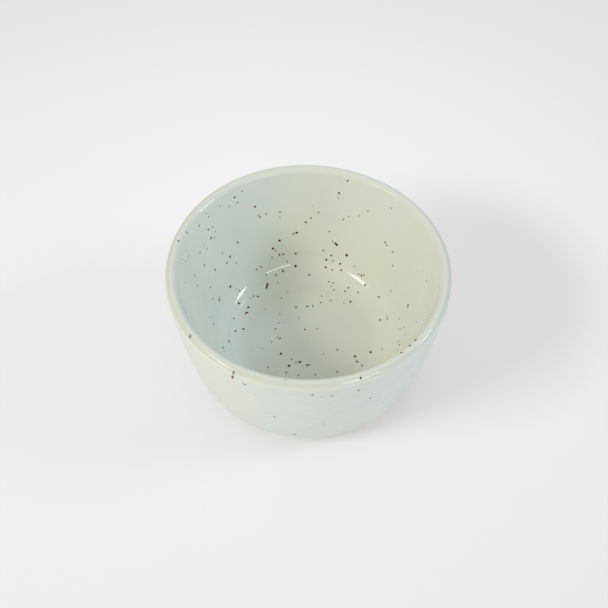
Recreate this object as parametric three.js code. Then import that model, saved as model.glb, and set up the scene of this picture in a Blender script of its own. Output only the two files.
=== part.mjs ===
// Glazed stoneware ramekin: a pot thrown in one piece with a rolled lip and a bare foot ring, a glossy liner
// glaze poured inside and over the lip, and a satin glaze on the outside down to just above the foot.
// Millimetres, +Z up, origin at the centre of the circle that the pot stands on.

import * as THREE from 'three';

// Driving dimensions of the finished pot
const HEIGHT = 50; // table to the top of the lip
const LIP_DIAMETER = 95; // outside, across the rolled lip
const LIP_WIDTH = 3.9; // thickness of the roll
const LIP_OVERHANG = 0.5; // how far the roll stands out from the wall below it
const UNDERCUT_RADIUS = 1.5; // hollow that runs round under the roll
const OUTER_SWEEP = 200; // radius of the wall's slight belly, outside
const BASE_DIAMETER = 83.2; // outside, of the upright that the base rounding touches
const BASE_ROUNDING = 8; // radius that turns the wall in towards the foot
const INNER_DEPTH = 39; // top of the lip to the middle of the floor
const INNER_SWEEP = 140; // radius of the wall's curve, inside
const FLOOR_CROWN = 150; // radius of the floor's slight rise to its middle
const FLOOR_DIAMETER = 46; // ring round the floor where it is lowest
const FLOOR_FILLET = 11.5; // radius between the floor and the wall
const FOOT_HEIGHT = 3; // table to the lowest of the base rounding
const FOOT_INSET = 2; // ledge between the base rounding and the foot ring
const FOOT_WIDTH = 4.5; // width of the foot ring
const FOOT_EDGE = 0.6; // rounding of the foot ring's two edges
const RECESS_DEPTH = 2.2; // hollow inside the foot ring
const GLAZE_THICKNESS = 0.4; // both coats
const GLAZE_LINE = 4.6; // table to the lower edge of the outer coat

// Facets: steps round the pot and along each arc of its profile
const STEPS_ROUND = 48;
const STEPS_FLOOR = 3;
const STEPS_FILLET = 8;
const STEPS_INNER_WALL = 4;
const STEPS_LIP = 8;
const STEPS_UNDERCUT = 3;
const STEPS_OUTER_WALL = 4;
const STEPS_BASE = 4;
const STEPS_BARE_BASE = 2;
const STEPS_EDGE = 2;

const UP = Math.PI / 2;
const DOWN = -UP;

// The profile is drawn in (radius, height) with arcs that run into each other without a kink. The surface
// bulges along some arcs and is hollow along others, so a coat on it is the same arc made larger or smaller.
const BULGING = 1;
const HOLLOW = -1;

function arc(centre, radius, form) {
  return { centre, radius, form };
}

// Direction from one point to another, as an angle from the horizontal
function heading(from, to) {
  return Math.atan2(to.y - from.y, to.x - from.x);
}

// The point at given distances from two centres, on the left of the way from the first to the second
function meet(first, toFirst, second, toSecond) {
  const way = second.clone().sub(first);
  const apart = way.length();
  const along = (apart ** 2 + toFirst ** 2 - toSecond ** 2) / (2 * apart);
  const aside = Math.sqrt(toFirst ** 2 - along ** 2);
  way.normalize();
  const left = new THREE.Vector2(-way.y, way.x);
  return first.clone().addScaledVector(way, along).addScaledVector(left, aside);
}

// Points along a chain of arcs, moved out of the finished surface by a depth, which is negative inside the coat
function trace(runs, depth = 0) {
  const points = [];
  for (const { on, from, to, steps } of runs) {
    const reach = on.radius + on.form * depth;
    const first = points.length > 0 ? 1 : 0;
    for (let step = first; step <= steps; step += 1) {
      const turn = from + ((to - from) * step) / steps;
      points.push(new THREE.Vector2(reach * Math.cos(turn), reach * Math.sin(turn)).add(on.centre));
    }
  }
  return points;
}

// Inside: crowned floor, fillet, sweeping wall and the roll of the lip
const floorHeight = HEIGHT - INNER_DEPTH;
const lipRadius = LIP_WIDTH / 2;
const lip = arc(new THREE.Vector2(LIP_DIAMETER / 2 - lipRadius, HEIGHT - lipRadius), lipRadius, BULGING);
const floor = arc(new THREE.Vector2(0, floorHeight - FLOOR_CROWN), FLOOR_CROWN, BULGING);
const filletAside = FLOOR_DIAMETER / 2;
const filletRise = Math.sqrt((FLOOR_CROWN + FLOOR_FILLET) ** 2 - filletAside ** 2);
const fillet = arc(new THREE.Vector2(filletAside, floor.centre.y + filletRise), FLOOR_FILLET, HOLLOW);
const innerCentre = meet(fillet.centre, INNER_SWEEP - FLOOR_FILLET, lip.centre, INNER_SWEEP + lipRadius);
const innerWall = arc(innerCentre, INNER_SWEEP, HOLLOW);

// Outside: undercut below the lip, wall with a slight belly and the rounding at the base
const base = arc(
  new THREE.Vector2(BASE_DIAMETER / 2 - BASE_ROUNDING, FOOT_HEIGHT + BASE_ROUNDING),
  BASE_ROUNDING,
  BULGING,
);
const wallTop = new THREE.Vector2(LIP_DIAMETER / 2 - LIP_OVERHANG, lip.centre.y);
const outerCentre = meet(base.centre, OUTER_SWEEP - BASE_ROUNDING, wallTop, OUTER_SWEEP);
const outerWall = arc(outerCentre, OUTER_SWEEP, BULGING);
const undercutCentre = meet(
  lip.centre,
  lipRadius + UNDERCUT_RADIUS,
  outerCentre,
  OUTER_SWEEP + UNDERCUT_RADIUS,
);
const undercut = arc(undercutCentre, UNDERCUT_RADIUS, HOLLOW);

// Angles where one arc runs into the next
const floorToFillet = heading(floor.centre, fillet.centre);
const filletToWall = heading(innerCentre, fillet.centre);
const wallToLip = heading(innerCentre, lip.centre);
const lipToUndercut = heading(lip.centre, undercutCentre);
const undercutToWall = heading(outerCentre, undercutCentre);
const wallToBase = heading(outerCentre, base.centre);
const baseToBare = Math.asin((GLAZE_LINE - base.centre.y) / BASE_ROUNDING);

const linedRuns = [
  { on: floor, from: UP, to: floorToFillet, steps: STEPS_FLOOR },
  { on: fillet, from: floorToFillet - Math.PI, to: filletToWall, steps: STEPS_FILLET },
  { on: innerWall, from: filletToWall, to: wallToLip, steps: STEPS_INNER_WALL },
  { on: lip, from: wallToLip + Math.PI, to: lipToUndercut, steps: STEPS_LIP },
];
const coatedRuns = [
  { on: undercut, from: lipToUndercut + Math.PI, to: undercutToWall + Math.PI, steps: STEPS_UNDERCUT },
  { on: outerWall, from: undercutToWall, to: wallToBase, steps: STEPS_OUTER_WALL },
  { on: base, from: wallToBase, to: baseToBare, steps: STEPS_BASE },
];
const bareRuns = [{ on: base, from: baseToBare, to: DOWN, steps: STEPS_BARE_BASE }];

// Floor, wall and lip from the middle of the floor, which lies exactly on the axis
function linedProfile(depth) {
  const [middle, ...others] = trace(linedRuns, depth);
  return [middle.setX(0), ...others];
}

// Bare clay from the base rounding round the foot ring to the centre of the recessed underside
function footProfile() {
  const outside = base.centre.x - FOOT_INSET;
  const inside = outside - FOOT_WIDTH;
  const outerEdge = arc(new THREE.Vector2(outside - FOOT_EDGE, FOOT_EDGE), FOOT_EDGE, BULGING);
  const innerEdge = arc(new THREE.Vector2(inside + FOOT_EDGE, FOOT_EDGE), FOOT_EDGE, BULGING);
  return [
    new THREE.Vector2(outside, FOOT_HEIGHT + GLAZE_THICKNESS),
    ...trace([{ on: outerEdge, from: 0, to: DOWN, steps: STEPS_EDGE }]),
    ...trace([{ on: innerEdge, from: DOWN, to: 2 * DOWN, steps: STEPS_EDGE }]),
    new THREE.Vector2(inside, RECESS_DEPTH),
    new THREE.Vector2(0, RECESS_DEPTH),
  ];
}

// A lathed solid faces outwards when its profile runs up the outside, and these run down it
function turned(name, profile, material) {
  const geometry = new THREE.LatheGeometry(profile.toReversed(), STEPS_ROUND);
  geometry.rotateX(Math.PI / 2);
  const mesh = new THREE.Mesh(geometry, material);
  mesh.name = name;
  return mesh;
}

function stonewareBody() {
  const profile = [
    ...linedProfile(-GLAZE_THICKNESS),
    ...trace(coatedRuns, -GLAZE_THICKNESS).slice(1),
    ...trace(bareRuns, -GLAZE_THICKNESS).slice(1),
    ...footProfile(),
  ];
  const clay = new THREE.MeshStandardMaterial({ color: 0xc4b295, roughness: 0.85, metalness: 0 });
  return turned('stoneware_body', profile, clay);
}

function linerGlaze() {
  const profile = [...linedProfile(0), ...linedProfile(-GLAZE_THICKNESS).reverse()];
  const gloss = new THREE.MeshStandardMaterial({ color: 0xcdd2c4, roughness: 0.1, metalness: 0 });
  return turned('liner_glaze', profile, gloss);
}

function outerGlaze() {
  const finished = trace(coatedRuns);
  const profile = [...finished, ...trace(coatedRuns, -GLAZE_THICKNESS).reverse(), finished[0]];
  const satin = new THREE.MeshStandardMaterial({ color: 0xd2d5cb, roughness: 0.35, metalness: 0 });
  return turned('outer_glaze', profile, satin);
}

const ramekin = new THREE.Group();
ramekin.name = 'ramekin';
ramekin.add(stonewareBody(), linerGlaze(), outerGlaze());

export default ramekin;
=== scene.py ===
"""Looks of the glazed stoneware ramekin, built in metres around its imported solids."""
import math
import random
from collections import namedtuple

import bpy
import numpy as np
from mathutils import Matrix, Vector
from mathutils.bvhtree import BVHTree


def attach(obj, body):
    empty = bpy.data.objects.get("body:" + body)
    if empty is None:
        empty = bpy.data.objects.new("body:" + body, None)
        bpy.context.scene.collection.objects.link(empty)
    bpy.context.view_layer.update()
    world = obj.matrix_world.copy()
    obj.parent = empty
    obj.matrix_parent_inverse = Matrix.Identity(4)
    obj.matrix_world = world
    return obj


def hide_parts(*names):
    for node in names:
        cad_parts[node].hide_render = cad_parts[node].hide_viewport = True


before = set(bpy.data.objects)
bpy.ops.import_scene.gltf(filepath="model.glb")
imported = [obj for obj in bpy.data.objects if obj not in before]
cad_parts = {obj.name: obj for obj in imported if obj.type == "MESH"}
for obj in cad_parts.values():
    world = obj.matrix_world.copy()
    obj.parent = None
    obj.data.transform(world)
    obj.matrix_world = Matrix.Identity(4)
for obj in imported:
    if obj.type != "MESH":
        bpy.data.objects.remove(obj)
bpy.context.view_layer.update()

MM = 0.001
SEED = 7

# Sizes of the finished pot in millimetres, as the solids have them
HEIGHT = 50.0
LIP_DIAMETER = 95.0
LIP_WIDTH = 3.9
LIP_OVERHANG = 0.5
UNDERCUT_RADIUS = 1.5
OUTER_SWEEP = 200.0
BASE_DIAMETER = 83.2
BASE_ROUNDING = 8.0
INNER_DEPTH = 39.0
INNER_SWEEP = 140.0
FLOOR_CROWN = 150.0
FLOOR_DIAMETER = 46.0
FLOOR_FILLET = 11.5
FOOT_HEIGHT = 3.0
FOOT_INSET = 2.0
FOOT_WIDTH = 4.5
FOOT_EDGE = 0.6
RECESS_DEPTH = 2.2
GLAZE_THICKNESS = 0.4
GLAZE_LINE = 4.6

# Fineness of the turned meshes: steps round the pot, and spacings along the profile in millimetres
STEPS_ROUND = 400
COARSE = 1.2
SMOOTH = 1.0
COVERED = 4.0
FINE = 0.22
BARE_SPACING = 0.3
ROOT_SPACING = 0.15
RECESS_RINGS = 84
# Share of the spacing that the tight curves under the liner glaze get
FILLET_SHARE = 0.175
LIP_SHARE = 0.15
# A ring nearer to the axis than this is one point
ON_AXIS = 1e-6
SHARP = math.radians(50)

# Camera, from the photograph's outline: a 608 pixel picture taken with a 1000 pixel focal length. Its sensor,
# distance, target and nearest view are in millimetres.
PICTURE = 608
FOCAL_PIXELS = 1000.0
SENSOR = 36.0
CAMERA_PITCH = math.radians(53.32)
CAMERA_DISTANCE = 347.5
CAMERA_TARGET = (-1.35, 0.14, HEIGHT - 21.4)
CAMERA_NEAR = 10.0

DOWN = -math.pi / 2
BULGING = 1
HOLLOW = -1
Arc = namedtuple("Arc", "centre radius form")
Run = namedtuple("Run", "on start end spacing")


def srgb(red, green, blue):
    """A colour written in 0 to 255 picture values, as the linear colour that a shader takes."""
    def linear(value):
        value /= 255
        return value / 12.92 if value <= 0.04045 else ((value + 0.055) / 1.055) ** 2.4
    return (linear(red), linear(green), linear(blue), 1.0)


# Profile of the pot, in (radius, height)

def heading(start, end):
    return math.atan2(end[1] - start[1], end[0] - start[0])


def meet(first, to_first, second, to_second):
    """The point at given distances from two centres, left of the way from the first to the second."""
    way = second - first
    apart = np.hypot(*way)
    along = (apart**2 + to_first**2 - to_second**2) / (2 * apart)
    aside = math.sqrt(to_first**2 - along**2)
    way = way / apart
    return first + along * way + aside * np.array((-way[1], way[0]))


def trace(runs, depth=0.0):
    """Points along a chain of arcs, moved out of the finished surface by a depth, or in if negative."""
    chain = []
    for on, start, end, spacing in runs:
        steps = max(2, math.ceil(abs(end - start) * on.radius / spacing))
        turns = np.linspace(start, end, steps + 1)[1 if chain else 0:]
        reach = on.radius + on.form * depth
        chain.append(on.centre + reach * np.column_stack((np.cos(turns), np.sin(turns))))
    return np.vstack(chain)


FLOOR_HEIGHT = HEIGHT - INNER_DEPTH
LIP_RADIUS = LIP_WIDTH / 2
LIP = Arc(np.array((LIP_DIAMETER / 2 - LIP_RADIUS, HEIGHT - LIP_RADIUS)), LIP_RADIUS, BULGING)
FLOOR = Arc(np.array((0.0, FLOOR_HEIGHT - FLOOR_CROWN)), FLOOR_CROWN, BULGING)
FILLET_RISE = math.sqrt((FLOOR_CROWN + FLOOR_FILLET) ** 2 - (FLOOR_DIAMETER / 2) ** 2)
FILLET = Arc(FLOOR.centre + np.array((FLOOR_DIAMETER / 2, FILLET_RISE)), FLOOR_FILLET, HOLLOW)
INNER_WALL = Arc(
    meet(FILLET.centre, INNER_SWEEP - FLOOR_FILLET, LIP.centre, INNER_SWEEP + LIP_RADIUS),
    INNER_SWEEP,
    HOLLOW,
)
BASE = Arc(
    np.array((BASE_DIAMETER / 2 - BASE_ROUNDING, FOOT_HEIGHT + BASE_ROUNDING)),
    BASE_ROUNDING,
    BULGING,
)
WALL_TOP = np.array((LIP_DIAMETER / 2 - LIP_OVERHANG, LIP.centre[1]))
OUTER_WALL = Arc(
    meet(BASE.centre, OUTER_SWEEP - BASE_ROUNDING, WALL_TOP, OUTER_SWEEP),
    OUTER_SWEEP,
    BULGING,
)
UNDERCUT = Arc(
    meet(LIP.centre, LIP_RADIUS + UNDERCUT_RADIUS, OUTER_WALL.centre, OUTER_SWEEP + UNDERCUT_RADIUS),
    UNDERCUT_RADIUS,
    HOLLOW,
)
FLOOR_TO_FILLET = heading(FLOOR.centre, FILLET.centre)
FILLET_TO_WALL = heading(INNER_WALL.centre, FILLET.centre)
WALL_TO_LIP = heading(INNER_WALL.centre, LIP.centre)
LIP_TO_UNDERCUT = heading(LIP.centre, UNDERCUT.centre)
UNDERCUT_TO_WALL = heading(OUTER_WALL.centre, UNDERCUT.centre)
WALL_TO_BASE = heading(OUTER_WALL.centre, BASE.centre)
BASE_TO_BARE = math.asin((GLAZE_LINE - BASE.centre[1]) / BASE_ROUNDING)


def lined(fine):
    """The part of the profile under the liner glaze, from the floor over the lip."""
    return (
        Run(FLOOR, -DOWN, FLOOR_TO_FILLET, fine),
        Run(FILLET, FLOOR_TO_FILLET - math.pi, FILLET_TO_WALL, FILLET_SHARE * fine),
        Run(INNER_WALL, FILLET_TO_WALL, WALL_TO_LIP, fine),
        Run(LIP, WALL_TO_LIP + math.pi, LIP_TO_UNDERCUT, LIP_SHARE * fine),
    )


def coated(fine):
    """The part of the profile under the outer glaze, from the undercut to the glaze line."""
    return (
        Run(UNDERCUT, LIP_TO_UNDERCUT + math.pi, UNDERCUT_TO_WALL + math.pi, FINE),
        Run(OUTER_WALL, UNDERCUT_TO_WALL, WALL_TO_BASE, fine),
        Run(BASE, WALL_TO_BASE, BASE_TO_BARE, fine),
    )


# Unevenness of a pot thrown by hand, growing by a power of the height: lobes round the lip with their size
# in millimetres and where each peaks, and a lean
UNEVEN = ((2, 0.14, math.radians(-47)), (3, 0.17, math.radians(-7)), (4, 0.10, math.radians(42)))
UNEVEN_GROWTH = 1.5
LEAN = 0.16
LEAN_PEAK = math.radians(-165)
ROUND = np.linspace(0, 2 * math.pi, STEPS_ROUND, endpoint=False)


def lobed(lobes):
    """A wave round the pot, from each lobe's count, its size and the place of its peak."""
    return sum(size * np.cos(count * (ROUND - peak)) for count, size, peak in lobes)


def by_hand(radius, height):
    """The pot's unevenness, growing from nothing at the foot to its full size at the lip."""
    share = np.clip(height / HEIGHT, 0, 1) ** UNEVEN_GROWTH
    lift = LEAN * np.cos(ROUND - LEAN_PEAK)
    outward = np.clip(2 * radius / LIP_DIAMETER, 0, 1)
    return radius + share * outward * lobed(UNEVEN), height + share * outward * lift


def turned(name, rings, relief=0.0, slide=0.0, closed=False, break_and_crease_shade=None):
    """A mesh turned from a profile. Relief moves each point out of the surface, and slide along it.

    The last argument is how far the glaze breaks at each ring, with painted shade in the crease under the
    lip, kept on the mesh for its material.
    """
    ahead = np.gradient(rings, axis=0)
    ahead /= np.hypot(ahead[:, 0], ahead[:, 1])[:, None]
    flat = np.zeros((len(rings), STEPS_ROUND))
    relief = flat + relief
    slide = flat + slide
    radius = rings[:, 0, None] - ahead[:, 1, None] * relief + ahead[:, 0, None] * slide
    height = rings[:, 1, None] + ahead[:, 0, None] * relief + ahead[:, 1, None] * slide
    radius, height = by_hand(radius, height)
    vertices = []
    numbers = np.zeros((len(rings), STEPS_ROUND), int)
    for ring, (from_axis, up) in enumerate(zip(radius, height)):
        numbers[ring] = len(vertices)
        if rings[ring, 0] < ON_AXIS:
            vertices.append((0.0, 0.0, up.mean() * MM))
            continue
        numbers[ring] += np.arange(STEPS_ROUND)
        vertices.extend(zip(from_axis * np.cos(ROUND) * MM, from_axis * np.sin(ROUND) * MM, up * MM))
    faces = []
    for ring in range(len(rings) if closed else len(rings) - 1):
        here, after = numbers[ring], numbers[(ring + 1) % len(rings)]
        for step in range(STEPS_ROUND):
            beside = (step + 1) % STEPS_ROUND
            corners = (here[step], after[step], after[beside], here[beside])
            faces.append(tuple(dict.fromkeys(int(corner) for corner in corners)))
    mesh = bpy.data.meshes.new(name)
    mesh.from_pydata(vertices, [], faces)
    mesh.polygons.foreach_set("use_smooth", [True] * len(faces))
    mesh.set_sharp_from_angle(angle=SHARP)
    if break_and_crease_shade is not None:
        shares = np.zeros(len(vertices))
        shares[numbers] = break_and_crease_shade[:, None]
        mesh.attributes.new("break_and_crease_shade", "FLOAT", "POINT").data.foreach_set("value", shares)
    piece = bpy.data.objects.new(name, mesh)
    bpy.context.scene.collection.objects.link(piece)
    return piece


# Surface of each coat

Waves = namedtuple("Waves", "count longest shortest size seed")
# How many waves a surface has, their longest and shortest length, and their size in millimetres
POURED = Waves(6, 30.0, 12.0, 0.008, SEED)
THROWN = Waves(14, 2.2, 1.1, 0.010, SEED + 1)
TRIMMED = Waves(8, 3.4, 1.1, 0.012, SEED + 2)
WAVE_TURNS = (-2, -1, 0, 1, 2)
LEAST_WAVE = 0.4


def waves(places, kind):
    """Gentle random waves along the profile that also drift round the pot."""
    draw = random.Random(kind.seed)
    total = np.zeros((len(places), STEPS_ROUND))
    for _ in range(kind.count):
        length = draw.uniform(kind.shortest, kind.longest)
        turns = draw.choice(WAVE_TURNS)
        phase = draw.uniform(0, 2 * math.pi)
        strength = kind.size * draw.uniform(LEAST_WAVE, 1.0)
        total += strength * np.cos(2 * math.pi * places[:, None] / length + turns * ROUND + phase)
    return total


def distance_along(rings):
    return np.concatenate(([0.0], np.cumsum(np.hypot(*np.diff(rings, axis=0).T))))


# How far the glaze breaks darker over the lip, with painted shade in the crease under it, by the way that the
# surface faces there in degrees: -40 is under the outer edge, 90 the top and 180 the inner edge
LIP_FACING = (-40, 10, 31, 45, 65, 78, 95, 112, 140, 165)
LIP_BREAK_AND_SHADE = (0.4, 0.6, 0.7, 0.95, 1.0, 0.35, 0.1, 0.35, 0.3, 0.0)
# Painted shade of the crease under the lip reaches this many millimetres down the outer coat
BREAK_AND_SHADE_BELOW_LIP = 1.6
# The lip's outer shoulder is a little flattened: the way it faces, its width and depth in millimetres
SHOULDER_FACING = math.radians(50)
SHOULDER_WIDTH = 1.9
SHOULDER_DEPTH = 0.07
# A ring lies on the lip if it is within this many lip radii of the lip's middle
LIP_REACH = 1.01


def around_lip(rings):
    """The way that each ring faces from the middle of the lip, in radians, and whether it is on the lip."""
    out = rings - LIP.centre
    on_lip = np.hypot(out[:, 0], out[:, 1]) < LIP_REACH * LIP_RADIUS
    return np.arctan2(out[:, 1], out[:, 0]), on_lip


def break_and_shade_over_lip(rings):
    facing, on_lip = around_lip(rings)
    return np.where(on_lip, np.interp(np.degrees(facing), LIP_FACING, LIP_BREAK_AND_SHADE), 0.0)


def lip_shoulder(rings):
    facing, on_lip = around_lip(rings)
    along = LIP_RADIUS * (facing - SHOULDER_FACING)
    on_shoulder = on_lip & (np.abs(along) < SHOULDER_WIDTH / 2)
    dip = SHOULDER_DEPTH * (1 + np.cos(2 * math.pi * along / SHOULDER_WIDTH)) / 2
    return np.where(on_shoulder, -dip, 0.0)


# Rings that the thrower leaves round the floor, in millimetres: a fine ridge that is highest at one side,
# and soft waves beside it
RIDGE_RADIUS = 28.1
RIDGE_WIDTH = 0.5
RIDGE_HEIGHT = 0.17
RIDGE_PEAK = math.radians(165)
RING_RADIUS = 25.5
RING_LENGTH = 6.0
RING_HEIGHT = 0.02
RINGS_BELOW = 16.0


def floor_rings(rings):
    radius = rings[:, 0, None]
    ridge = RIDGE_HEIGHT * np.exp(-(((radius - RIDGE_RADIUS) / RIDGE_WIDTH) ** 2))
    ridge = ridge * (1 + np.cos(ROUND - RIDGE_PEAK)) / 2
    fade = np.clip(1 - np.abs(radius - RIDGE_RADIUS) / RING_LENGTH, 0, 1)
    wave = RING_HEIGHT * fade * np.cos(2 * math.pi * (radius - RING_RADIUS) / RING_LENGTH)
    return np.where(rings[:, 1, None] < RINGS_BELOW, ridge + wave, 0.0)


def liner_glaze():
    """The glossy coat inside and over the lip, with the soft unevenness of a poured glaze."""
    shown = trace(lined(SMOOTH))
    hidden = trace(lined(COVERED), -GLAZE_THICKNESS)[::-1]
    along = distance_along(shown)
    fade = np.clip((along[-1] - along) / LIP_WIDTH, 0, 1) * np.clip(along / LIP_WIDTH, 0, 1)
    relief = waves(along, POURED) * fade[:, None]
    relief += floor_rings(shown) + lip_shoulder(shown)[:, None]
    relief = np.vstack((relief, np.zeros((len(hidden), STEPS_ROUND))))
    rings = np.vstack((shown, hidden))
    return turned("liner_glaze_coat", rings, relief, break_and_crease_shade=break_and_shade_over_lip(rings))


# Where the throwing lines start below the lip, and the lengths over which they fade in and out, all in
# millimetres
LINES_START = 2.0
LINES_FADE_IN = 4.0
LINES_FADE_OUT = 6.0
# The glaze's lower edge wanders up and down: lobes round it, their size in millimetres and where each peaks
EDGE_LOBES = ((2, 0.3, -0.3), (5, 0.2, 0.0), (9, 0.12, -2 / 9))


def outer_glaze():
    """The satin coat outside: it shows the throwing lines and ends in a wavy rounded edge above the foot."""
    shown = trace(coated(FINE))
    hidden = trace(coated(COARSE), -GLAZE_THICKNESS)[::-1]
    along = distance_along(shown)
    to_edge = along[-1] - along
    fade = np.clip((along - LINES_START) / LINES_FADE_IN, 0, 1) * np.clip(to_edge / LINES_FADE_OUT, 0, 1)
    lines = waves(shown[:, 1], THROWN) * fade[:, None]
    inside_edge = np.clip(GLAZE_THICKNESS - to_edge, 0, GLAZE_THICKNESS)
    rounding = GLAZE_THICKNESS - np.sqrt(GLAZE_THICKNESS**2 - inside_edge**2)
    relief = np.vstack((lines - rounding[:, None], np.zeros((len(hidden), STEPS_ROUND))))
    both_along = np.concatenate((along, distance_along(hidden[::-1])[::-1]))
    near_edge = np.clip(1 - (along[-1] - both_along) / BASE_ROUNDING, 0, 1) ** 2
    slide = near_edge[:, None] * lobed(EDGE_LOBES)
    slide[len(shown):] *= -1
    # Painted shade of the crease just under the lip, fading out down the outer coat
    break_and_crease_shade = LIP_BREAK_AND_SHADE[0] * np.clip(1 - both_along / BREAK_AND_SHADE_BELOW_LIP, 0, 1)
    return turned("outer_glaze_coat", np.vstack((shown, hidden)), relief, slide, closed=True, break_and_crease_shade=break_and_crease_shade)


# The bare clay: radius of the hollow corners beside the foot ring in millimetres, the share of the way down
# the base where the turning marks begin, and the radius inside which they die out
FOOT_ROOT = 0.8
MARKS_FROM = 0.6
MARKS_MIDDLE = 2.0


def stoneware():
    """The clay: its foot ring and hollowed underside are bare and show the turning marks."""
    outside = BASE.centre[0] - FOOT_INSET
    inside = outside - FOOT_WIDTH
    clay_ledge = FOOT_HEIGHT + GLAZE_THICKNESS
    outer_edge = Arc(np.array((outside - FOOT_EDGE, FOOT_EDGE)), FOOT_EDGE, BULGING)
    inner_edge = Arc(np.array((inside + FOOT_EDGE, FOOT_EDGE)), FOOT_EDGE, BULGING)
    outer_root = Arc(np.array((outside + FOOT_ROOT, clay_ledge - FOOT_ROOT)), FOOT_ROOT, HOLLOW)
    inner_root = Arc(np.array((inside - FOOT_ROOT, RECESS_DEPTH - FOOT_ROOT)), FOOT_ROOT, HOLLOW)
    recess = np.linspace(inside - FOOT_ROOT, 0.0, RECESS_RINGS)
    covered = np.vstack((
        trace(lined(COVERED), -GLAZE_THICKNESS),
        trace(coated(COARSE)[:2], -GLAZE_THICKNESS)[1:],
    ))
    foot = np.vstack((
        trace((Run(BASE, WALL_TO_BASE, DOWN, BARE_SPACING),), -GLAZE_THICKNESS)[1:],
        trace((Run(outer_root, -DOWN, math.pi, ROOT_SPACING),)),
        trace((Run(outer_edge, 0.0, DOWN, FINE),)),
        trace((Run(inner_edge, DOWN, 2 * DOWN, FINE),)),
        trace((Run(inner_root, 0.0, -DOWN, ROOT_SPACING),)),
        np.column_stack((recess, np.full(RECESS_RINGS, RECESS_DEPTH)))[1:],
    ))
    rings = np.vstack((covered, foot))
    down_base = (BASE.centre[1] - rings[:, 1]) / BASE_ROUNDING
    underneath = np.clip((down_base - MARKS_FROM) / (1 - MARKS_FROM), 0, 1)
    underneath[:len(covered)] = 0
    standing = np.clip(rings[:, 1] / FOOT_EDGE, 0, 1)
    centre = np.clip(rings[:, 0] / MARKS_MIDDLE, 0, 1)
    marks = waves(rings[:, 0], TRIMMED) * (underneath * standing * centre)[:, None]
    return turned("stoneware_pot", rings, marks)


pot = stoneware()
liner = liner_glaze()
outer = outer_glaze()


# Materials

def new_material(name):
    material = bpy.data.materials.new(name)
    material.use_nodes = True
    return material, material.node_tree, material.node_tree.nodes["Principled BSDF"]


def add(tree, kind, inputs, **settings):
    """A node with its settings, and its inputs set to values or linked to sockets."""
    node = tree.nodes.new(kind)
    for key, value in settings.items():
        setattr(node, key, value)
    for key, value in inputs.items():
        if isinstance(value, bpy.types.NodeSocket):
            tree.links.new(value, node.inputs[key])
        else:
            node.inputs[key].default_value = value
    return node


MIX_FACTOR, MIX_A, MIX_B, MIX_RESULT = 0, 6, 7, 2


def mixed(tree, factor, first, second):
    node = add(tree, "ShaderNodeMix", {MIX_FACTOR: factor, MIX_A: first, MIX_B: second}, data_type="RGBA")
    return node.outputs[MIX_RESULT]


def ranged(tree, value, low, high, to_low, to_high):
    inputs = {"Value": value, "From Min": low, "From Max": high, "To Min": to_low, "To Max": to_high}
    return add(tree, "ShaderNodeMapRange", inputs).outputs["Result"]


def noise(tree, place, per_metre, detail=2.0):
    inputs = {"Vector": place, "Scale": per_metre, "Detail": detail}
    return add(tree, "ShaderNodeTexNoise", inputs).outputs["Fac"]


def attribute(tree, name, output="Fac"):
    return add(tree, "ShaderNodeAttribute", {}, attribute_name=name).outputs[output]


Pattern = namedtuple("Pattern", "per_metre detail low high")
# Random patterns in the surfaces: how fine they are, and the values that are stretched to 0 and 1
DRIFT = Pattern(45.0, 2.0, 0.35, 0.65)
CLOUD = Pattern(190.0, 4.0, 0.4, 0.7)
SPARSE = Pattern(310.0, 0.0, 0.6, 0.7)
SHEEN = Pattern(260.0, 2.0, 0.3, 0.7)
MOTTLE = Pattern(120.0, 5.0, 0.35, 0.65)
DULLNESS = Pattern(900.0, 2.0, 0.3, 0.7)


def patterned(tree, place, pattern, to_low=0.0, to_high=1.0):
    value = noise(tree, place, pattern.per_metre, pattern.detail)
    return ranged(tree, value, pattern.low, pattern.high, to_low, to_high)


Dots = namedtuple("Dots", "per_metre core edge strength")
# Scattered dots: how close they are, and the shares of their distance where the core ends and the edge lies
IRON_DOTS = Dots(420.0, 0.05, 0.14, 1.0)
GROG = Dots(700.0, 0.08, 0.2, 0.75)


def dotted(tree, place, dots):
    cells = add(tree, "ShaderNodeTexVoronoi", {"Vector": place, "Scale": dots.per_metre}, feature="F1")
    return ranged(tree, cells.outputs["Distance"], dots.core, dots.edge, dots.strength, 0.0)


def dimple(tree, shader, height, depth):
    """Fine relief of the surface, with its depth in millimetres."""
    bump = add(tree, "ShaderNodeBump", {"Height": height, "Strength": 1.0, "Distance": depth * MM})
    tree.links.new(bump.outputs["Normal"], shader.inputs["Normal"])


Glaze = namedtuple("Glaze", "name body cool warm roughness peel")
GLOSS = Glaze("gloss_glaze", srgb(211, 217, 206), srgb(208, 216, 207), srgb(213, 217, 203), 0.05, 0.004)
SATIN = Glaze("satin_glaze", srgb(194, 201, 194), srgb(191, 200, 194), srgb(196, 201, 191), 0.36, 0.006)
THIN_GLAZE = srgb(205, 211, 200)
# Darker glaze where it breaks thin over the lip, and painted shade in the crease under the lip
BROKEN_GLAZE_AND_CREASE_SHADE = srgb(190, 195, 182)
FAINT_DOT = srgb(138, 118, 96)
CLOUD_SHARE = 0.5
DOT_SHARE = 0.4
SHEEN_LOW, SHEEN_HIGH = 0.85, 1.2
PEEL_PER_METRE = 650.0
GLAZE_IOR = 1.5


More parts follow.
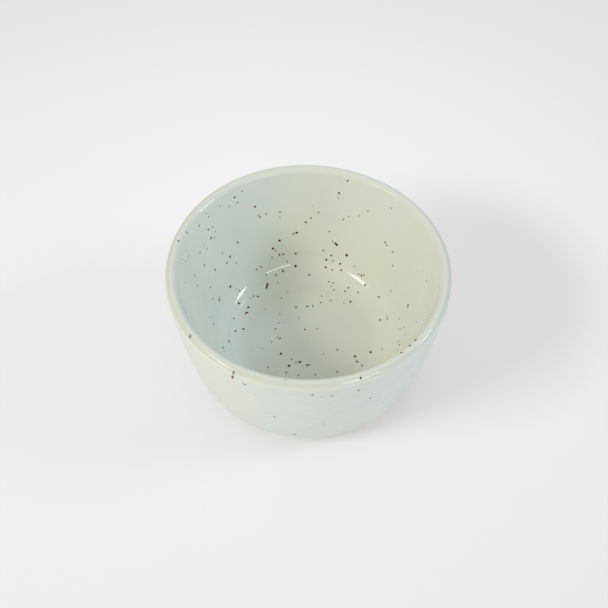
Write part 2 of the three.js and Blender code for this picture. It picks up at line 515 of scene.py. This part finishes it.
def glaze(kind):
    """Pale speckled glaze: soft drifts of tone, thin over the lip, painted shade under it, tiny iron dots and
    an uneven surface.
    """
    material, tree, shader = new_material(kind.name)
    place = add(tree, "ShaderNodeTexCoord", {}).outputs["Object"]
    drifting = mixed(tree, patterned(tree, place, DRIFT), kind.cool, kind.warm)
    colour = mixed(tree, patterned(tree, place, CLOUD, 0.0, CLOUD_SHARE), drifting, kind.body)
    height = add(tree, "ShaderNodeSeparateXYZ", {"Vector": place}).outputs["Z"]
    over_lip = ranged(tree, height, LIP.centre[1] * MM, HEIGHT * MM, 0.0, 1.0)
    colour = mixed(tree, over_lip, colour, THIN_GLAZE)
    # Painted shade in the crease under the lip, together with the glaze breaking thin over its edges
    colour = mixed(tree, attribute(tree, "break_and_crease_shade"), colour, BROKEN_GLAZE_AND_CREASE_SHADE)
    dot = dotted(tree, place, IRON_DOTS)
    sparse = patterned(tree, place, SPARSE, 0.0, DOT_SHARE)
    faint = add(tree, "ShaderNodeMath", {0: dot, 1: sparse}, operation="MULTIPLY").outputs[0]
    colour = mixed(tree, faint, colour, FAINT_DOT)
    colour = mixed(tree, attribute(tree, "speck"), colour, attribute(tree, "tone", "Color"))
    tree.links.new(colour, shader.inputs["Base Color"])
    sheen = patterned(tree, place, SHEEN, SHEEN_LOW * kind.roughness, SHEEN_HIGH * kind.roughness)
    tree.links.new(sheen, shader.inputs["Roughness"])
    shader.inputs["IOR"].default_value = GLAZE_IOR
    dimple(tree, shader, noise(tree, place, PEEL_PER_METRE), kind.peel)
    return material


CLAY_LIGHT = srgb(203, 187, 160)
CLAY_DARK = srgb(186, 163, 130)
GROG_TONE = srgb(96, 66, 44)
CLAY_SMOOTHEST, CLAY_ROUGHEST = 0.78, 0.95
GRIT_PER_METRE = 2600.0
GRIT_DETAIL = 3.0
GRIT_DEPTH = 0.05


def bare_clay():
    """Fired buff stoneware: warm mottling, dark grog and a gritty matt surface."""
    material, tree, shader = new_material("bare_stoneware")
    place = add(tree, "ShaderNodeTexCoord", {}).outputs["Object"]
    colour = mixed(tree, patterned(tree, place, MOTTLE), CLAY_LIGHT, CLAY_DARK)
    colour = mixed(tree, dotted(tree, place, GROG), colour, GROG_TONE)
    tree.links.new(colour, shader.inputs["Base Color"])
    dull = patterned(tree, place, DULLNESS, CLAY_SMOOTHEST, CLAY_ROUGHEST)
    tree.links.new(dull, shader.inputs["Roughness"])
    dimple(tree, shader, noise(tree, place, GRIT_PER_METRE, GRIT_DETAIL), GRIT_DEPTH)
    return material


liner.data.materials.append(glaze(GLOSS))
outer.data.materials.append(glaze(SATIN))
pot.data.materials.append(bare_clay())
for piece, node, slot in (
    (pot, "stoneware_body", "bare_stoneware"),
    (liner, "liner_glaze", "gloss_glaze"),
    (outer, "outer_glaze", "satin_glaze"),
):
    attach(piece, "root")
    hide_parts(node)


# Iron specks that come through the glaze from the clay. Those that the photograph shows are given by their
# pixels there and land on the coat that the camera sees at that pixel; the unseen sides get random ones.
LARGE_SPECKS = (
    (211, 238), (279.5, 240.5), (273, 248.5), (295.5, 266), (230.3, 286.5), (219.3, 300),
    (238.7, 303.3), (248.3, 307.4), (213.8, 324), (281, 353.7), (300, 362), (289, 365.7),
    (350.5, 301.8), (346.7, 255.2), (408, 305.5), (370.7, 352.2), (355, 356.2), (415.5, 340),
)
MEDIUM_SPECKS = (
    (234.5, 197.5), (255, 206.7), (208.3, 229.5), (178.5, 240.8), (293.2, 233.8), (305.8, 222.2),
    (311, 218), (279.5, 254.8), (283.2, 254.3), (295.7, 253.5), (261, 267), (282.8, 271), (230, 256.5),
    (200, 252.3), (237.8, 242.5), (227, 263), (204.5, 265.3), (215.2, 270), (195, 275.6), (199, 225.7),
    (339, 193.2), (347.7, 180.6), (368, 211.3), (331.3, 255.5), (326.3, 259.8), (340.2, 263.7),
    (325.8, 267.3), (341, 270.2), (309.3, 274.8), (361.5, 275.7), (247.2, 312.5), (233.8, 318.4),
    (243.5, 329), (235.5, 331.2), (228.8, 341.2), (223.3, 347.7), (257.8, 296.4), (296, 307.3),
    (307.2, 306.4), (313, 306), (345, 291.3), (378.8, 297.1), (380, 320), (399.6, 345), (337.3, 350),
    (357, 361.7), (362, 365.4), (337, 371.8), (307.3, 365), (410, 345.6), (360.7, 378), (197.2, 285.6),
)
SMALL_SPECKS = (
    (256.3, 269.5), (242.3, 191.2), (237.3, 202.7), (206.3, 213.6), (208.5, 217), (260, 217),
    (266.2, 214), (280, 212), (181.8, 259.5), (222.2, 252.8), (276, 275.2), (266.5, 275),
    (318.4, 212.3), (329.5, 231.5), (332.5, 241.3), (323.3, 250.4), (333, 260.7), (332.2, 269.8),
    (358.6, 274), (385.3, 242.3), (386.7, 245.3), (392.6, 252), (392.8, 265.5), (239.3, 290.5),
    (212.5, 298.8), (210.5, 287.5), (245.5, 313.5), (253.3, 296), (281.3, 298.3), (275.6, 328.8),
    (280, 338.5), (268, 367.4), (286.2, 372.6), (298.2, 375), (328.8, 281.7), (333.2, 283),
    (331.4, 286.3), (334, 289.8), (348.4, 287.8), (358, 292.3), (365, 285.2), (330.5, 300.5),
    (321, 302.5), (387.5, 318.7), (416.4, 321.7), (404, 327.4), (400, 329.4), (398.3, 341.3),
    (305, 329.4), (315.2, 374.4), (401.3, 352.6), (291.8, 359.5),
)
FAINT_SPECKS = (
    (220.5, 206), (229.3, 206.5), (258.5, 215.5), (280, 217.5), (212.5, 227), (214.5, 237.5),
    (204, 245.7), (189, 256.2), (185.5, 261.3), (207, 249), (236.3, 263.2), (272.2, 257.5),
    (287.3, 261.5), (275.5, 250.5), (215.5, 231.5), (338.2, 198.4), (348.8, 216.5), (343.5, 219.5),
    (359, 216), (391.3, 208.2), (354.3, 266.5), (364, 275.3), (236.2, 288.5), (224, 351.6),
    (250.5, 298.3), (265, 309.3), (279.8, 314), (278.5, 323.5), (277.5, 337.5), (271.8, 342),
    (262, 348.3), (296.2, 362.5), (299.3, 318.5), (287.6, 291.8), (278, 283), (185.5, 282.5),
    (211, 317.3), (391, 291.3), (321.5, 296), (343.8, 302.6), (408, 308.3), (386.7, 316.3),
    (399.7, 318.6), (404.5, 335), (316.7, 328.8), (397.5, 349.5), (323.3, 354), (382, 349),
    (309.3, 365), (426.5, 281.3), (431.8, 276), (286, 379.8), (219.4, 297.5),
)
OUTSIDE_SPECKS = (
    (312.5, 395), (332, 396), (358.7, 390.4), (370.6, 398.3), (274.5, 417), (323.2, 424.2),
    (295, 434.5),
)
OUTSIDE_FAINT_SPECKS = ((321.7, 396.5), (383.5, 403), (269, 413), (310, 428.3), (254.5, 394), (227.3, 382))
# Long marks, from one end's pixel to the other's, with their width in millimetres
LONG_SPECKS = (
    (267.6, 283.6, 266.2, 288.4, 0.85), (335.1, 243.1, 337.2, 245.2, 1.0),
    (295.6, 233.2, 297.5, 232.3, 0.95), (186.1, 231.8, 187.7, 233.4, 0.65),
)
RUST_MARKS = (
    (233.7, 371.8, 233.3, 374.6, 1.0), (233.2, 374.8, 232.3, 378.0, 1.0),
    (190.4, 335.2, 189.7, 338.0, 0.75), (242.8, 383.5, 245.4, 384.8, 0.7),
)
Kind = namedtuple("Kind", "across depth tone rim")
# Kinds of speck: width in millimetres, depth of the tone, and the tones of the middle and the rim
IRON = srgb(78, 28, 12)
BROWN = srgb(112, 60, 8)
IRON_RIM = srgb(142, 92, 64)
RUST = srgb(112, 54, 28)
RUST_RIM = srgb(176, 128, 96)
OUTSIDE_IRON = srgb(98, 54, 30)
LARGE = Kind(1.06, 1.0, IRON, IRON_RIM)
MEDIUM = Kind(0.82, 1.0, IRON, IRON_RIM)
SMALL = Kind(0.71, 1.0, BROWN, IRON_RIM)
FAINT = Kind(0.68, 0.75, BROWN, IRON_RIM)
OUTSIDE = Kind(0.9, 1.0, OUTSIDE_IRON, RUST_RIM)
OUTSIDE_FAINT = Kind(0.66, 0.5, OUTSIDE_IRON, RUST_RIM)
HIDDEN_SPECKS = 110
HIDDEN_OUTSIDE_SPECKS = 24
# Spread of the specks' sizes and of their rims, and how far they are drawn out, as shares of their width
SPECK_SPREAD = (0.9, 1.1)
SPECK_UNEVEN = (0.82, 1.15)
SPECK_STRETCH = 0.25
SPECK_POINTS = 10
# A long mark is a row of blobs this many pixels apart
MARK_STEP = 1.6
# Rings of a speck from its rim to its middle: share of its radius, height in millimetres, share of its tone
SPECK_RINGS = ((1.0, 0.002, 0.25), (0.74, 0.008, 1.0))
SPECK_CROWN = 0.012
SPECK_ROOT = -0.03
# A place is seen if the camera's ray ends within this many millimetres of it
SEEN_WITHIN = 1.5
# A place is in the open if nothing lies between these heights above it, in millimetres
OPEN_FROM = 0.05
OPEN_TO = 3.0


def tree_of(piece):
    mesh = piece.data
    return BVHTree.FromPolygons([v.co for v in mesh.vertices], [tuple(p.vertices) for p in mesh.polygons])


def camera_axes():
    """Where the camera stands, and the ways forward, right and up from there."""
    forward = Vector((0.0, math.cos(CAMERA_PITCH), -math.sin(CAMERA_PITCH)))
    up = Vector((0.0, math.sin(CAMERA_PITCH), math.cos(CAMERA_PITCH)))
    eye = (Vector(CAMERA_TARGET) - forward * CAMERA_DISTANCE) * MM
    return eye, forward, forward.cross(up), up


EYE, FORWARD, RIGHT, UP = camera_axes()


def seen_at(coats, x, y):
    """The coat that the camera sees at a pixel, with the point and normal there."""
    ray = FORWARD * FOCAL_PIXELS + RIGHT * (x - PICTURE / 2) + UP * (PICTURE / 2 - y)
    hits = []
    for coat in coats:
        place, normal, _, far = coat.surface.ray_cast(EYE, ray.normalized())
        if place is not None:
            hits.append((far, coat, place, normal))
    return min(hits, key=lambda hit: hit[0])[1:] if hits else None


def pixel_of(place):
    way = place - EYE
    far = way.dot(FORWARD)
    x = PICTURE / 2 + FOCAL_PIXELS * way.dot(RIGHT) / far
    y = PICTURE / 2 - FOCAL_PIXELS * way.dot(UP) / far
    return x, y


def in_sight(coats, place):
    seen = seen_at(coats, *pixel_of(place))
    return seen is not None and (seen[1] - place).length < SEEN_WITHIN * MM


def exposed(coats, place, normal):
    """Whether a point of a coat faces the air and not the clay: nothing lies just above it."""
    start = place + normal * OPEN_FROM * MM
    return all(coat.surface.ray_cast(start, normal, OPEN_TO * MM)[0] is None for coat in coats)


class Specks:
    """Small closed blobs pressed onto one coat, gathered into one mesh."""

    def __init__(self, coat):
        self.coat = coat
        self.surface = tree_of(coat)
        self.vertices = []
        self.faces = []
        self.shares = []
        self.tones = []

    def add(self, draw, place, normal, along, length, kind):
        """A blob with an uneven rim: along is its long axis, and length how much it is drawn out."""
        across = normal.cross(along).normalized()
        along = across.cross(normal)
        radius = kind.across / 2 * MM
        uneven = [draw.uniform(*SPECK_UNEVEN) for _ in range(SPECK_POINTS)]
        turns = [2 * math.pi * step / SPECK_POINTS for step in range(SPECK_POINTS)]
        offsets = []
        for turn, share in zip(turns, uneven):
            reach = radius * share
            stretch = math.copysign(length / 2, math.cos(turn))
            offsets.append(along * (reach * math.cos(turn) + stretch) + across * reach * math.sin(turn))
        first = len(self.vertices)
        for (share, lift, depth), tone in zip(SPECK_RINGS, (kind.rim, kind.tone)):
            self.ring(place, offsets, share, lift, depth * kind.depth, tone)
        self.point(place, SPECK_CROWN, kind.depth, kind.tone)
        self.ring(place, offsets, 1.0, SPECK_ROOT, 0.0, kind.rim)
        self.point(place, SPECK_ROOT, 0.0, kind.rim)
        rim, inner = first, first + SPECK_POINTS
        crown = inner + SPECK_POINTS
        root = crown + 1
        under = root + SPECK_POINTS
        for step in range(SPECK_POINTS):
            after = (step + 1) % SPECK_POINTS
            self.faces.append((rim + step, rim + after, inner + after, inner + step))
            self.faces.append((inner + step, inner + after, crown))
            self.faces.append((root + step, root + after, rim + after, rim + step))
            self.faces.append((root + after, root + step, under))

    def ring(self, place, offsets, share, lift, depth, tone):
        for offset in offsets:
            self.point(place + offset * share, lift, depth, tone)

    def point(self, place, lift, depth, tone):
        on, normal, _, _ = self.surface.find_nearest(place)
        self.vertices.append(on + normal * lift * MM)
        self.shares.append(depth)
        self.tones.append(tone)

    def piece(self, name):
        mesh = bpy.data.meshes.new(name)
        mesh.from_pydata(self.vertices, [], self.faces)
        mesh.polygons.foreach_set("use_smooth", [True] * len(self.faces))
        share = mesh.attributes.new("speck", "FLOAT", "POINT")
        share.data.foreach_set("value", self.shares)
        tone = mesh.attributes.new("tone", "FLOAT_COLOR", "POINT")
        tone.data.foreach_set("color", [value for colour in self.tones for value in colour])
        piece = bpy.data.objects.new(name, mesh)
        piece.data.materials.append(self.coat.data.materials[0])
        bpy.context.scene.collection.objects.link(piece)
        return piece


def random_way(draw, normal):
    """A random way along the surface."""
    way = Vector((draw.gauss(0, 1), draw.gauss(0, 1), draw.gauss(0, 1)))
    return (way - normal * way.dot(normal)).normalized()


def add_shown(coats, draw):
    """The round specks that the photograph shows."""
    groups = (
        (LARGE_SPECKS, LARGE), (MEDIUM_SPECKS, MEDIUM), (SMALL_SPECKS, SMALL), (FAINT_SPECKS, FAINT),
        (OUTSIDE_SPECKS, OUTSIDE), (OUTSIDE_FAINT_SPECKS, OUTSIDE_FAINT),
    )
    for pixels, kind in groups:
        for x, y in pixels:
            coat, place, normal = seen_at(coats, x, y)
            size = kind._replace(across=kind.across * draw.uniform(*SPECK_SPREAD))
            along = random_way(draw, normal)
            length = size.across * draw.uniform(0, SPECK_STRETCH) * MM
            coat.add(draw, place, normal, along, length, size)


def add_marks(coats, draw):
    """The long marks that the photograph shows."""
    for marks, tone, rim in ((LONG_SPECKS, IRON, IRON_RIM), (RUST_MARKS, RUST, RUST_RIM)):
        for x0, y0, x1, y1, width in marks:
            steps = max(1, round(math.hypot(x1 - x0, y1 - y0) / MARK_STEP))
            along = seen_at(coats, x1, y1)[1] - seen_at(coats, x0, y0)[1]
            length = max(0.0, along.length - width * MM / 2) / steps
            for share in (np.arange(steps) + 0.5) / steps:
                coat, place, normal = seen_at(coats, x0 + (x1 - x0) * share, y0 + (y1 - y0) * share)
                coat.add(draw, place, normal, along.normalized(), length, Kind(width, 1.0, tone, rim))


def add_hidden(coats, draw):
    """Random specks on the sides that the photograph doesn't show."""
    on_liner, on_outer = coats
    for coat, count, kinds in (
        (on_liner, HIDDEN_SPECKS, (LARGE, MEDIUM, SMALL, FAINT)),
        (on_outer, HIDDEN_OUTSIDE_SPECKS, (OUTSIDE, OUTSIDE_FAINT)),
    ):
        faces = coat.coat.data.polygons
        areas = [face.area for face in faces]
        for number in draw.choices(range(len(faces)), areas, k=count):
            place, normal = faces[number].center, faces[number].normal
            if in_sight(coats, place) or not exposed(coats, place, normal):
                continue
            along = random_way(draw, normal)
            coat.add(draw, place.copy(), normal.copy(), along, 0.0, draw.choice(kinds))


def make_specks():
    draw = random.Random(SEED)
    coats = (Specks(liner), Specks(outer))
    add_shown(coats, draw)
    add_marks(coats, draw)
    add_hidden(coats, draw)
    return coats[0].piece("liner_glaze_specks"), coats[1].piece("outer_glaze_specks")


specks = make_specks()
for piece, slot in zip(specks, ("gloss_glaze", "satin_glaze")):
    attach(piece, "root")


# Floor, camera and light

WHITE = (1.0, 1.0, 1.0, 1.0)
FLOOR_TONE = srgb(238, 238, 238)
FLOOR_ROUGHNESS = 0.9
FLOOR_REACH = 3.0
# Share of the floor's shading and shadow that the camera sees, the rest being an even glow
SHADOW_SHARE = 0.46
# Painted light on the floor: it glows brighter near the pot, lifting the shade round it, by the distance in
# metres from a place behind the pot, near and far
GLOW_MIDDLE = (0.0, 0.06, 0.0)
GLOW_NEAR, GLOW_FAR = 0.05, 0.2
FLOOR_GLOW_NEAR, FLOOR_GLOW_FAR = 0.385, 0.29


def seen_directly(tree):
    """1 where the camera sees a surface itself, mirrored or through something clear, and 0 for its light."""
    path = add(tree, "ShaderNodeLightPath", {})
    seen = path.outputs["Is Camera Ray"]
    for other in ("Is Glossy Ray", "Is Transmission Ray"):
        either = {0: seen, 1: path.outputs[other]}
        seen = add(tree, "ShaderNodeMath", either, operation="MAXIMUM").outputs[0]
    return seen


def floor_material():
    """Matt pale grey. The camera sees a paler floor with a lighter shadow than the one lighting the pot."""
    material, tree, shader = new_material("pale_floor")
    shader.inputs["Base Color"].default_value = FLOOR_TONE
    shader.inputs["Roughness"].default_value = FLOOR_ROUGHNESS
    shader.inputs["Specular IOR Level"].default_value = 0.0
    place = add(tree, "ShaderNodeTexCoord", {}).outputs["Object"]
    ends = {0: place, 1: GLOW_MIDDLE}
    away = add(tree, "ShaderNodeVectorMath", ends, operation="DISTANCE").outputs["Value"]
    glowing = 1 - SHADOW_SHARE
    strength = ranged(tree, away, GLOW_NEAR, GLOW_FAR, FLOOR_GLOW_NEAR / glowing, FLOOR_GLOW_FAR / glowing)
    glow = add(tree, "ShaderNodeEmission", {"Color": WHITE, "Strength": strength})
    share = ranged(tree, seen_directly(tree), 0.0, 1.0, 0.0, glowing)
    both = add(tree, "ShaderNodeMixShader", {0: share, 1: shader.outputs[0], 2: glow.outputs[0]})
    tree.links.new(both.outputs[0], tree.nodes["Material Output"].inputs["Surface"])
    return material


def make_floor():
    mesh = bpy.data.meshes.new("floor")
    corners = [(x * FLOOR_REACH, y * FLOOR_REACH, 0.0) for x, y in ((-1, -1), (1, -1), (1, 1), (-1, 1))]
    mesh.from_pydata(corners, [], [(0, 1, 2, 3)])
    floor = bpy.data.objects.new("floor", mesh)
    floor.data.materials.append(floor_material())
    bpy.context.scene.collection.objects.link(floor)
    return floor


def make_camera():
    lens = bpy.data.cameras.new("camera")
    lens.sensor_width = SENSOR
    lens.lens = SENSOR * FOCAL_PIXELS / PICTURE
    lens.clip_start = CAMERA_NEAR * MM
    camera = bpy.data.objects.new("camera", lens)
    camera.location = EYE
    camera.rotation_euler = (math.pi / 2 - CAMERA_PITCH, 0.0, 0.0)
    bpy.context.scene.collection.objects.link(camera)
    bpy.context.scene.camera = camera


Panel = namedtuple("Panel", "name azimuth elevation wide high radiance tint")
# Each light's way from the pot is in degrees, and its width and height are shares of its distance in metres
LIGHT_DISTANCE = 1.0
GLINT_DISTANCE = 0.9
PANEL_GAP = 0.01
# Soft light on the pot
PANELS = (
    Panel("left_softbox", 206, 38, 0.36, 0.18, 22.0, (1.0, 0.85, 0.70)),
    Panel("right_strip", 1, 33, 0.32, 0.10, 30.0, (0.58, 0.74, 1.0)),
    Panel("front_right_panel", -47, 40, 0.40, 0.05, 6.0, (0.9, 0.95, 1.0)),
    Panel("front_panel", -90, 20, 1.1, 0.6, 0.52, (0.97, 0.95, 1.08)),
)
# The same lights as the backdrop gets them, white
FLOOR_PANELS = (
    Panel("left_softbox_on_floor", 206, 37, 0.36, 0.18, 37.0, (1.0, 1.0, 1.0)),
    Panel("right_strip_on_floor", 1, 33, 0.32, 0.10, 33.0, (1.0, 1.0, 1.0)),
)
# What the glaze reflects of them: each bright in its middle and dim towards its ends
GLINTS = (
    Panel("left_glint_wide", 206, 38, 0.44, 0.12, 3.0, (1.0, 0.98, 0.94)),
    Panel("left_glint", 206, 38, 0.26, 0.14, 7.0, (1.0, 0.99, 0.96)),
    Panel("right_glint_wide", 1, 33, 0.34, 0.06, 6.0, (0.78, 0.92, 1.0)),
    Panel("right_glint", 0, 33.5, 0.20, 0.09, 16.0, (0.78, 0.92, 1.0)),
    Panel("high_right_glint", 21, 52, 0.20, 0.02, 4.0, (1.0, 0.97, 0.88)),
    Panel("front_right_glint", -54, 39, 0.42, 0.06, 10.0, (0.95, 0.98, 1.0)),
)
SKY = 0.695


def make_panel(panel, distance, receivers, diffuse, glossy):
    """A soft rectangular light aimed at the pot: what it falls on, and whether it shades or is reflected."""
    lamp = bpy.data.lights.new(panel.name, "AREA")
    lamp.shape = "RECTANGLE"
    lamp.size = panel.wide * distance
    lamp.size_y = panel.high * distance
    lamp.energy = panel.radiance * math.pi * lamp.size * lamp.size_y
    lamp.color = panel.tint
    light = bpy.data.objects.new(panel.name, lamp)
    azimuth, elevation = math.radians(panel.azimuth), math.radians(panel.elevation)
    way = Vector((
        math.cos(azimuth) * math.cos(elevation),
        math.sin(azimuth) * math.cos(elevation),
        math.sin(elevation),
    ))
    light.location = way * distance + Vector((0.0, 0.0, HEIGHT * MM / 2))
    light.rotation_euler = way.to_track_quat("Z", "Y").to_euler()
    light.visible_camera = False
    light.visible_diffuse = diffuse
    light.visible_glossy = glossy
    light.light_linking.receiver_collection = receivers
    bpy.context.scene.collection.objects.link(light)


def group(name, things):
    gathered = bpy.data.collections.new(name)
    for thing in things:
        gathered.objects.link(thing)
    return gathered


def make_world():
    """An even pale sky."""
    world = bpy.data.worlds.new("studio")
    world.use_nodes = True
    back = world.node_tree.nodes["Background"]
    back.inputs["Color"].default_value = WHITE
    back.inputs["Strength"].default_value = SKY
    bpy.context.scene.world = world


floor = make_floor()
make_camera()
make_world()
lit_pot = group("lit_pot", (pot, liner, outer, *specks))
lit_floor = group("lit_floor", (floor,))
for panels, distance, receivers, diffuse, glossy in (
    (PANELS, LIGHT_DISTANCE, lit_pot, True, False),
    (GLINTS, GLINT_DISTANCE, lit_pot, False, True),
    (FLOOR_PANELS, LIGHT_DISTANCE, lit_floor, True, False),
):
    for number, panel in enumerate(panels):
        make_panel(panel, distance + number * PANEL_GAP, receivers, diffuse, glossy)
bpy.context.scene.view_settings.view_transform = "Standard"
